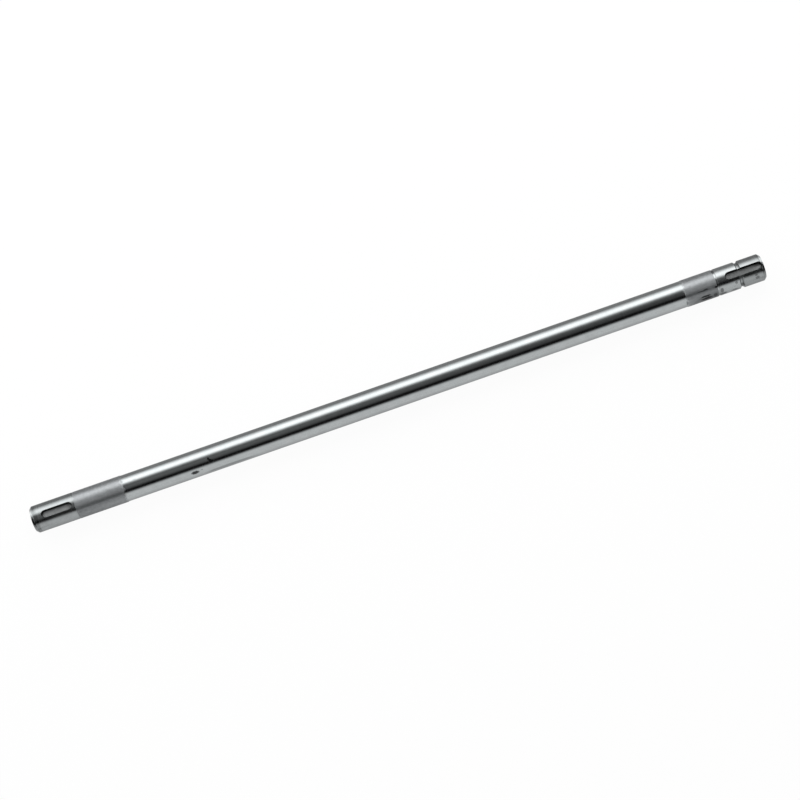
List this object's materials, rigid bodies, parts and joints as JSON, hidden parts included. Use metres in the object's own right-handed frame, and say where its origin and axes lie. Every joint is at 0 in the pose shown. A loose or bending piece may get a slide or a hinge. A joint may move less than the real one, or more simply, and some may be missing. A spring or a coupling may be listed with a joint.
{
  "type": "drive shaft",
  "caption": "Straight round steel drive shaft with ground bearing seats, a closed keyway near each end and a retaining ring groove.",
  "frame": {"origin": "middle of the shaft on its axis, half way between the two end faces", "axes": "+X along the shaft's axis towards the end with the retaining ring groove, +Z towards the open side of both keyways"},
  "size_m": [0.835, 0.03, 0.03],
  "materials": {
    "steel": "polished body, matte ground bearing seats, fine turned key seats"
  },
  "bodies": {
    "root": {"drive_shaft": "steel"}
  },
  "joints": []
}
